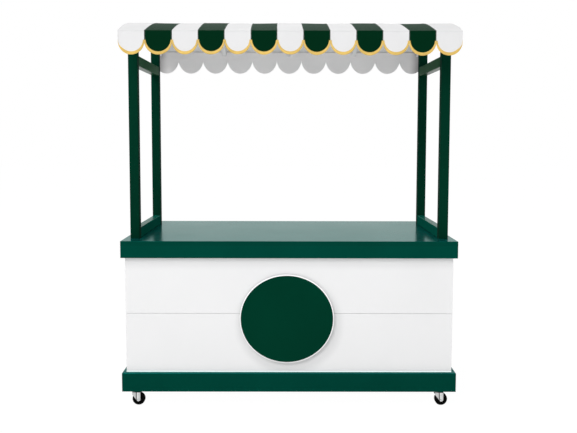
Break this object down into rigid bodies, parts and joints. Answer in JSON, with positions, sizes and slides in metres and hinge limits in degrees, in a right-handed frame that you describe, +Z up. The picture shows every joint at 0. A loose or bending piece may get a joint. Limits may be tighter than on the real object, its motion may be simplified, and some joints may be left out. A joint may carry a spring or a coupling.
{
  "type": "bakery booth",
  "caption": "Wheeled bakery booth: boarded counter with open-backed shelves, four posts and an arched striped canopy with scalloped valances.",
  "frame": {"origin": "on the floor, under the middle of the worktop", "axes": "+Z up; -Y towards the customers, where the sign is; +X to the right as a customer sees it"},
  "size_m": [1.8, 1.024, 2.1148],
  "materials": {
    "worktop_green": "gloss laminate",
    "edge_green": "satin laminate",
    "white_board": "satin paint",
    "carcass_board": "melamine",
    "batten_wood": "planed softwood",
    "sign_green": "satin sheet",
    "sign_white": "satin",
    "post_green": "satin powder coat",
    "plug_plastic": "matte",
    "frame_white": "white powder coat",
    "cloth_white": "coated cloth",
    "cloth_green": "coated cloth",
    "cloth_gold": "binding tape",
    "zinc": "zinc plated",
    "wheel_black": "moulded"
  },
  "bodies": {
    "booth": {"worktop": "worktop_green", "edge_front": "edge_green", "edge_rear": "edge_green", "edge_left": "edge_green", "edge_right": "edge_green", "plinth_front": "edge_green", "plinth_rear": "edge_green", "plinth_left": "edge_green", "plinth_right": "edge_green", "front_board_lower": "white_board", "front_board_upper": "white_board", "left_board_lower": "white_board", "left_board_upper": "white_board", "right_board_lower": "white_board", "right_board_upper": "white_board", "base_deck": "carcass_board", "divider": "carcass_board", "rear_stretcher": "carcass_board", "shelf_left": "carcass_board", "shelf_right": "carcass_board", "corner_battens": "batten_wood", "shelf_cleats": "batten_wood", "sign_board": "sign_green", "sign_rim": "sign_white", "sign_spacers": "sign_white", "post_front_left": "post_green", "post_front_right": "post_green", "post_rear_left": "post_green", "post_rear_right": "post_green", "lower_rail_left": "post_green", "lower_rail_right": "post_green", "upper_rail_left": "post_green", "upper_rail_right": "post_green", "post_plugs": "plug_plastic", "eave_tube_front": "frame_white", "eave_tube_rear": "frame_white", "arch_left": "frame_white", "arch_right": "frame_white", "arches_inner": "frame_white", "roof_cover": "cloth_white", "valance_white": "cloth_white", "valance_rear": "cloth_white", "valance_green": "cloth_green", "valance_binding": "cloth_gold", "post_bolts": "zinc", "caster_plates": "zinc", "caster_screws": "zinc"},
    "swivel_front_left": {"fork_front_left": "zinc", "axle_front_left": "zinc"},
    "roller_front_left": {"wheel_front_left": "wheel_black"},
    "swivel_front_right": {"fork_front_right": "zinc", "axle_front_right": "zinc"},
    "roller_front_right": {"wheel_front_right": "wheel_black"},
    "swivel_rear_left": {"fork_rear_left": "zinc", "axle_rear_left": "zinc"},
    "roller_rear_left": {"wheel_rear_left": "wheel_black"},
    "swivel_rear_right": {"fork_rear_right": "zinc", "axle_rear_right": "zinc"},
    "roller_rear_right": {"wheel_rear_right": "wheel_black"}
  },
  "joints": [
    {"name": "swivel_front_left_turn", "type": "hinge", "parent": "booth", "child": "swivel_front_left", "pos_m": [-0.834, -0.38, 0.08], "axis": [0, 0, 1], "continuous": true},
    {"name": "roller_front_left_roll", "type": "hinge", "parent": "swivel_front_left", "child": "roller_front_left", "pos_m": [-0.8255, -0.38, 0.0345], "axis": [0, 1, 0], "continuous": true},
    {"name": "swivel_front_right_turn", "type": "hinge", "parent": "booth", "child": "swivel_front_right", "pos_m": [0.827, -0.38, 0.08], "axis": [0, 0, 1], "continuous": true},
    {"name": "roller_front_right_roll", "type": "hinge", "parent": "swivel_front_right", "child": "roller_front_right", "pos_m": [0.8355, -0.38, 0.0345], "axis": [0, 1, 0], "continuous": true},
    {"name": "swivel_rear_left_turn", "type": "hinge", "parent": "booth", "child": "swivel_rear_left", "pos_m": [-0.834, 0.38, 0.08], "axis": [0, 0, 1], "continuous": true},
    {"name": "roller_rear_left_roll", "type": "hinge", "parent": "swivel_rear_left", "child": "roller_rear_left", "pos_m": [-0.8255, 0.38, 0.0345], "axis": [0, 1, 0], "continuous": true},
    {"name": "swivel_rear_right_turn", "type": "hinge", "parent": "booth", "child": "swivel_rear_right", "pos_m": [0.827, 0.38, 0.08], "axis": [0, 0, 1], "continuous": true},
    {"name": "roller_rear_right_roll", "type": "hinge", "parent": "swivel_rear_right", "child": "roller_rear_right", "pos_m": [0.8355, 0.38, 0.0345], "axis": [0, 1, 0], "continuous": true}
  ]
}
